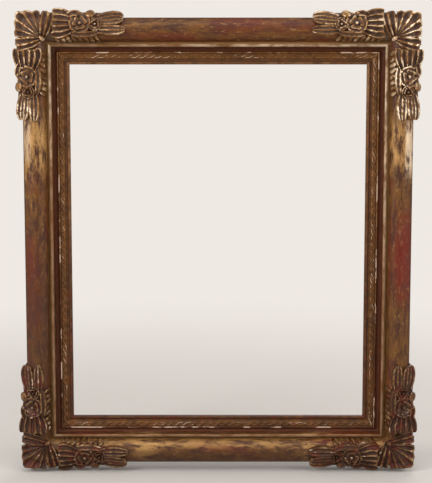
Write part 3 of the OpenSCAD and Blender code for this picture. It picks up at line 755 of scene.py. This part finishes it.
class FRAME_OT_carve_sight_edge(bpy.types.Operator):
    """Carve the four sight strips with their beads and crossing ribbon"""
    bl_idname = "gilded_frame.carve_sight_edge"
    bl_label = "Carve the sight edge"

    def execute(self, context):
        sizes = context.scene.sight_edge_sizes
        material = sight_gilding(context.scene.gilding_colours)
        across, upright = (HALF_W, HALF_H), (HALF_H, HALF_W)
        for side, angle, (half_length, height) in (("bottom", 0, across), ("right", -90, upright),
                                                   ("top", 180, across), ("left", 90, upright)):
            piece = self.strip(side, half_length, height, sizes)
            piece.data.transform(Matrix.Rotation(math.radians(angle), 4, "Y"))
            piece.data.materials.append(material)
            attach(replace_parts(piece, f"sight_strip_{side}"), BODY)
        return {"FINISHED"}

    def strip(self, side, half_length, height, sizes):
        """One strip lying along the bottom of the frame, mitred at both ends."""
        outline = sight_profile()
        deselect_all()
        bpy.ops.mesh.primitive_circle_add(vertices=len(outline), radius=MM, fill_type="NGON")
        piece = bpy.context.object
        piece.name = f"carved_sight_strip_{side}"
        reach = half_length - STEP_U + 1
        for vertex, (u, h) in zip(piece.data.vertices, outline):
            vertex.co = Vector((-reach, -h, u - height)) * MM
        bpy.ops.object.mode_set(mode="EDIT")
        bpy.ops.mesh.select_all(action="SELECT")
        bpy.ops.mesh.extrude_region_move(TRANSFORM_OT_translate={"value": (2 * reach * MM, 0, 0)})
        rough_cuts, fine_cuts = 79, 7
        for cuts in (rough_cuts, fine_cuts):
            mesh = bmesh.from_edit_mesh(piece.data)
            for edge in mesh.edges:
                run = edge.verts[1].co - edge.verts[0].co
                edge.select_set(abs(run.x) > 0.9 * run.length)
            bmesh.update_edit_mesh(piece.data)
            bpy.ops.mesh.subdivide(number_cuts=cuts)
        mesh = bmesh.from_edit_mesh(piece.data)
        first, last = BAND_U + 0.5, GROOVE_U - 0.5
        for vertex in mesh.verts:
            u = vertex.co.z / MM + height
            if first < u < last and vertex.co.y < -(STRIP_BACK_H + 5) * MM:
                fade = min(1, (u - first) / 0.8, (last - u) / 0.8)
                vertex.co.y -= ribbon_height(vertex.co.x / MM, u, sizes) * fade * MM
        bmesh.update_edit_mesh(piece.data)
        for end in (-1, 1):
            bpy.ops.mesh.select_all(action="SELECT")
            bpy.ops.mesh.bisect(plane_co=(end * half_length * MM, 0, -height * MM), plane_no=(end, 0, 1),
                                clear_outer=True, use_fill=True)
        bpy.ops.mesh.select_all(action="SELECT")
        bpy.ops.mesh.normals_make_consistent(inside=False)
        bpy.ops.object.mode_set(mode="OBJECT")
        bpy.ops.object.shade_smooth_by_angle(angle=math.radians(50))
        write_relief(piece, strength=0.5)
        return piece


def model_shell(sizes):
    """The corner shell: a wide scalloped fan between two pairs of tongues, all springing from one root."""
    root, reach = sizes.root_at / MM, sizes.shell_reach / MM
    columns, half, ribs = 40, math.radians(43), 5
    rib_height, rib_notch, side_lift, sink = 2.6, 0.055, 3.5, 1.2
    # Distance from the root and height of each row of the fan's points, which turns up to its rim
    fan_rows = ((2, 4), (8, 3.4), (16, 2.3), (24, 2), (31, 3.4), (36, 6.8), (40, 11.2), (42.6, 14.6),
                (44.2, 14.8), (45.2, 11.5))
    fan = grid_in_edit_mode("fan", columns, len(fan_rows) - 1)
    for j, (radius, height) in enumerate(fan_rows):
        pick(lambda index: index // (columns + 1) == j)
        scale(0, 1, 1, (0, 0, 0))
        move(0, radius - (2 * j / (len(fan_rows) - 1) - 1), height)
    for i in range(columns + 1):
        t = 2 * i / columns - 1
        away = abs(t) * half
        long = min(reach / math.cos(math.pi / 4 - away), 1.3 * reach) / reach
        rib = abs(math.cos(math.pi * ribs / 2 * (t + 1))) ** 3
        long *= 1 - rib_notch * rib
        pick(lambda index: index % (columns + 1) == i)
        scale(long, long, 1, (0, 0, 0))
        move(z=side_lift * abs(t) ** 6 + rib_height * rib - sink)
        # The fan's middle points out to the corner, at 225 degrees, and the column lies at 90
        turn(-(math.radians(135) + t * half), (0, 0, 0))
    bpy.ops.mesh.select_all(action="SELECT")
    move(root, root, 0)
    parts = [finish_sheet(fan, 9, 1)]
    hollow = (2.2, 3.6, -0.6, -2.8, -0.6, 3.6, 2.2)
    tongue = [(34, 31, 2.5, 3), (36, 24, 4, 3.6), (37.6, 15, 5.6, 3.4), (38.6, 6, 6.8, 4),
              (39.4, -3, 7.4, 7), (39.8, -8, 6.8, 10), (40, -11.5, 4.6, 8.4)]
    second = [(37, 33, 2, 2.5), (41, 27, 3.4, 3.6), (45, 19, 4.8, 3.8), (47.6, 10, 5.6, 4.2),
              (49.4, 1, 5.8, 6.4), (50, -5, 5.2, 9), (50.2, -9, 3.4, 7.4)]
    mirrored = [[(across, along, width, height) for along, across, width, height in rows]
                for rows in (tongue, second)]
    parts += [lobe("tongue", rows, hollow) for rows in (tongue, second, *mirrored)]
    parts.append(ball("root curl", (root + 1, root + 1, 3), (5.5, 3.8, 4.5), math.radians(45)))
    shell = join("shell", parts)
    lay_on_moulding(shell, rounded_minimum)
    return shell


def model_rose(at, radius, turn_by):
    """An open rose: a button deep inside an inner ring of three petals and an outer ring of five, each
    petal hollow in the middle with a rolled rim."""
    parts = [ball("button", (*at, 5), (radius * 0.16, radius * 0.16, 2.5))]
    cup = (2.2, 0.8, -0.4, -0.9, -0.4, 0.8, 2.2)
    for count, shift, share, width, lift in ((5, 0, 1.0, 0.6, 3.4), (3, 0.5, 0.62, 0.88, 4.6)):
        for k in range(count):
            angle = turn_by + 2 * math.pi * (k + shift) / count
            tip, wide = radius * share, radius * share * width
            rows = [(tip * 0.3, 0, wide * 0.5, lift - 1.6), (tip * 0.5, 0, wide * 0.85, lift - 0.6),
                    (tip * 0.7, 0, wide * 1.0, lift + 1.2), (tip * 0.86, 0, wide * 0.98, lift + 3.2),
                    (tip * 0.97, 0, wide * 0.8, lift + 3.8), (tip * 1.04, 0, wide * 0.55, lift + 2)]
            parts.append(lobe("petal", placed(rows, at, angle), cup, depth=9))
    return parts


def model_spray(sizes):
    """One arm of a corner ornament, from the collar beside the shell to the fluted leaf at its end."""
    rose, rose_r = (sizes.rose_at / MM, 9), sizes.rose_r / MM
    end = sizes.arm_l / MM
    hollow = (1.6, 3.2, -1.2, -2.8, -1.2, 3.2, 1.6)
    fluted = (0, 3.8, -2.8, 4.2, -2.8, 4.2, -2.8, 3.8, 0)
    ground = [(51, 11, 18, 0.8), (62, 11, 21, 1.6), (90, 11, 21, 1.6), (118, 11, 21, 1.6),
              (140, 11, 20, 1.6), (end - 18, 10, 17, 1.2), (end - 9, 9, 12, 0.8)]
    parts = [lobe("ground", ground, (-0.5, 0.4, 0.8, 0.4, -0.5), levels=1)]
    for k, across in enumerate((-8.5, 0.5, 9.5, 18.5, 27)):
        bend = (across - 10) * 0.1
        short = 2 * (k % 2)
        rows = [(86, across * 0.6 + 4, 3.6, 2.6), (78, across * 0.85 + 1.5, 5.4, 4.8),
                (70, across, 6.4, 5.2), (62 + short, across + bend, 6.6, 6.2),
                (55.5 + short, across + bend, 6.2, 8.2),
                (51.5 + short, across + bend, 4.6, 8.4), (50 + short, across + bend, 3, 5.4)]
        parts.append(lobe("collar leaf", rows, hollow))
    side_leaf = [(80, 26, 4, 3), (89, 28, 5.6, 5), (100, 28.5, 6.2, 5.8), (111, 28, 6, 5.8),
                 (121, 26.5, 5, 5), (129, 24, 3, 3.4)]
    parts.append(lobe("side leaf", side_leaf, (0, 3.8, -2.4, 3.8, 0)))
    outer_leaf = [(74, -3, 3.5, 3), (80, -6, 5.6, 6), (87, -7.6, 6, 7.6), (94, -7.4, 5, 6.4),
                  (98, -5, 3, 3.6)]
    parts.append(lobe("outer leaf", outer_leaf, hollow))
    outer_lobe = [(124, 4, 8, 3), (132, 3.2, 10.5, 5), (140, 1.8, 12, 6.4), (149, 0.8, 12.4, 7.4),
                  (157, 0.2, 12, 7.8), (end - 9, 0, 10, 7.2), (end - 4, 0.4, 6.6, 5)]
    parts.append(lobe("outer lobe", outer_lobe, fluted))
    inner_lobe = [(124, 20, 6, 3), (132, 20.6, 8.4, 4.8), (141, 21, 9.6, 5.8), (150, 21, 9.8, 6.4),
                  (158, 20.8, 9, 6.4), (end - 7, 20.4, 7, 5.4), (end - 1, 20, 3.6, 3.2)]
    parts.append(lobe("inner lobe", inner_lobe, fluted[:3] + fluted[-4:]))
    parts += model_rose((rose[0] + 25, 11), rose_r * 0.62, 0.9)
    parts += model_rose(rose, rose_r, 0.35)
    parts.append(ball("bud", (rose[0] + 16, -5.8, 4), (9, 7, 7), math.radians(-12)))
    for k in range(sizes.husk_count):
        at = (58 + k * sizes.husk_pitch / MM, 34.5, 1.6)
        parts.append(ball("husk", at, (7, 3.1, 4.2), math.radians(52)))
    spray = join("spray", parts)
    lay_on_moulding(spray, lambda along, across: across)
    return spray


def carve(piece, context):
    """Makes one gilded carving of an ornament's lobes."""
    fuse(piece, context.scene.ornament_sizes.grain)
    write_relief(piece)
    piece.data.materials.append(ornament_gilding(context.scene.gilding_colours))
    return piece


class FRAME_OT_model_corner_shells(bpy.types.Operator):
    """Model the scalloped shell and set a copy on each corner"""
    bl_idname = "gilded_frame.model_corner_shells"
    bl_label = "Model the corner shells"

    def execute(self, context):
        shell = carve(model_shell(context.scene.ornament_sizes), context)
        for corner, (side, level) in CORNERS.items():
            piece = place_copy(shell, f"shell_{corner}", side, level, False)
            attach(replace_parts(piece, f"corner_shell_{corner}"), BODY)
        drop(shell)
        return {"FINISHED"}


class FRAME_OT_model_rose_sprays(bpy.types.Operator):
    """Model an arm of roses, leaves and husks and set a copy on both arms of each corner"""
    bl_idname = "gilded_frame.model_rose_sprays"
    bl_label = "Model the rose sprays"

    def execute(self, context):
        spray = carve(model_spray(context.scene.ornament_sizes), context)
        for corner, (side, level) in CORNERS.items():
            for arm in ("across", "upright"):
                piece = place_copy(spray, f"spray_{corner}_{arm}", side, level, arm == "upright")
                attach(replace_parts(piece, f"rose_spray_{corner}_{arm}"), BODY)
        drop(spray)
        return {"FINISHED"}


class FRAME_OT_finish_hardware(bpy.types.Operator):
    """Give the hangers, turn buttons and screws on the back their metals"""
    bl_idname = "gilded_frame.finish_hardware"
    bl_label = "Finish the hardware"

    def execute(self, context):
        brass = worn_metal("aged brass", (176, 146, 84), (120, 92, 52), 0.3)
        steel = worn_metal("dull steel", (150, 148, 142), (104, 98, 90), 0.35)
        for hand in ("left", "right"):
            cover([f"hanger_strap_{hand}", f"hanger_ring_{hand}"], brass)
            cover([f"hanger_screws_{hand}"], steel)
            for level in ("upper", "lower"):
                cover([f"turn_button_{level}_{hand}"], brass)
                cover([f"button_screw_{level}_{hand}"], steel)
        return {"FINISHED"}


class FRAME_OT_set_stage(bpy.types.Operator):
    """Set the floor, the surroundings, the lamps and the camera"""
    bl_idname = "gilded_frame.set_stage"
    bl_label = "Set the stage"

    def execute(self, context):
        stage = context.scene.stage_settings
        deselect_all()
        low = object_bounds()[0]
        floor_size, gap = 40, 0.5 * MM
        bpy.ops.mesh.primitive_plane_add(size=floor_size, location=(0, 0, low.z - gap))
        floor = bpy.context.object
        floor.name = "floor"
        floor.data.materials.append(self.pale_floor(stage))
        floor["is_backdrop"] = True
        self.surroundings(context, stage)
        self.lamps()
        self.camera(context, stage)
        return {"FINISHED"}

    def pale_floor(self, stage):
        """A matt floor that keeps the frame's shadow near it and melts into the surroundings further off."""
        material, nodes, shader = new_material("pale floor")
        place = nodes.place()
        darker = [c * 0.97 for c in stage.floor[:3]] + [1.0]
        nodes.feed(shader, {"Base Color": nodes.mix(nodes.noise(place, 0.3), stage.floor, darker),
                            "Roughness": 0.9})
        away = nodes.new("ShaderNodeVectorMath", {0: place}, operation="LENGTH")
        far = nodes.step(away.outputs["Value"], 0.2, 1.9)
        glow = nodes.new("ShaderNodeEmission", {"Color": stage.background})
        self.blend(nodes, far, shader, glow, "Material Output")
        return material

    def surroundings(self, context, stage):
        world = bpy.data.worlds.new("pale surroundings")
        context.scene.world = world
        world.use_nodes = True
        nodes = Nodes(world.node_tree)
        light = world.node_tree.nodes["Background"]
        nodes.feed(light, {"Color": (1, 1, 1, 1), "Strength": 0.55})
        seen = nodes.new("ShaderNodeBackground", {"Color": stage.background})
        self.blend(nodes, 1.0, light, seen, "World Output")

    def blend(self, nodes, share, lit, seen, output):
        """Shows the second shader, in the given share, only where the camera sees it directly."""
        path = nodes.new("ShaderNodeLightPath")
        direct = nodes.math("MAXIMUM", path.outputs["Is Camera Ray"], path.outputs["Is Transmission Ray"])
        mixed = nodes.new("ShaderNodeMixShader", {0: nodes.product(direct, share), 1: lit.outputs[0],
                                                  2: seen.outputs[0]})
        nodes.feed(nodes.tree.nodes[output], {"Surface": mixed.outputs[0]})

    def lamps(self):
        for name, place, size, power in (("upper left softbox", (-1.6, -1.5, 0.9), 0.9, 30),
                                         ("right softbox", (1.8, -1.4, 0.7), 0.9, 18),
                                         ("top softbox", (0.1, -1.1, 1.9), 1.2, 12),
                                         ("back softbox", (0.9, 2.0, 1.4), 1.6, 20)):
            bpy.ops.object.light_add(type="AREA", location=place)
            lamp = bpy.context.object
            lamp.name = name
            lamp.data.size = size
            lamp.data.energy = power
            lamp.rotation_euler = (-Vector(place)).to_track_quat("-Z", "Y").to_euler()

    def camera(self, context, stage):
        back = Vector((0, -math.cos(stage.elevation), math.sin(stage.elevation)))
        bpy.ops.object.camera_add(location=back * stage.distance + Vector((stage.aim_x, 0, 0)))
        camera = bpy.context.object
        camera.name = "camera"
        camera.rotation_euler = (-back).to_track_quat("-Z", "Y").to_euler()
        camera.data.lens = stage.lens
        camera.data.sensor_width = 36
        context.scene.camera = camera
        context.scene.view_settings.view_transform = "Standard"


class FRAME_PT_panel(bpy.types.Panel):
    bl_idname = "FRAME_PT_panel"
    bl_label = "Gilded frame"
    bl_space_type = "VIEW_3D"
    bl_region_type = "UI"
    bl_category = "Gilded frame"

    def draw(self, context):
        for operator in OPERATORS:
            self.layout.operator(operator.bl_idname)
        for group in GROUPS:
            box = self.layout.box()
            for name in GROUPS[group].__annotations__:
                box.prop(getattr(context.scene, group), name)


OPERATORS = (FRAME_OT_gild_rails, FRAME_OT_carve_sight_edge, FRAME_OT_model_corner_shells,
             FRAME_OT_model_rose_sprays, FRAME_OT_finish_hardware, FRAME_OT_set_stage)
GROUPS = {"gilding_colours": GildingColours, "ornament_sizes": OrnamentSizes,
          "sight_edge_sizes": SightEdgeSizes, "stage_settings": StageSettings}


def register():
    for group, kind in GROUPS.items():
        bpy.utils.register_class(kind)
        setattr(bpy.types.Scene, group, bpy.props.PointerProperty(type=kind))
    for kind in (*OPERATORS, FRAME_PT_panel):
        bpy.utils.register_class(kind)


def unregister():
    for kind in (FRAME_PT_panel, *reversed(OPERATORS)):
        bpy.utils.unregister_class(kind)
    for group, kind in GROUPS.items():
        delattr(bpy.types.Scene, group)
        bpy.utils.unregister_class(kind)


def main():
    register()
    for operator in ("gild_rails", "carve_sight_edge", "model_corner_shells", "model_rose_sprays",
                     "finish_hardware", "set_stage"):
        getattr(bpy.ops.gilded_frame, operator)()


if __name__ == "__main__":
    main()
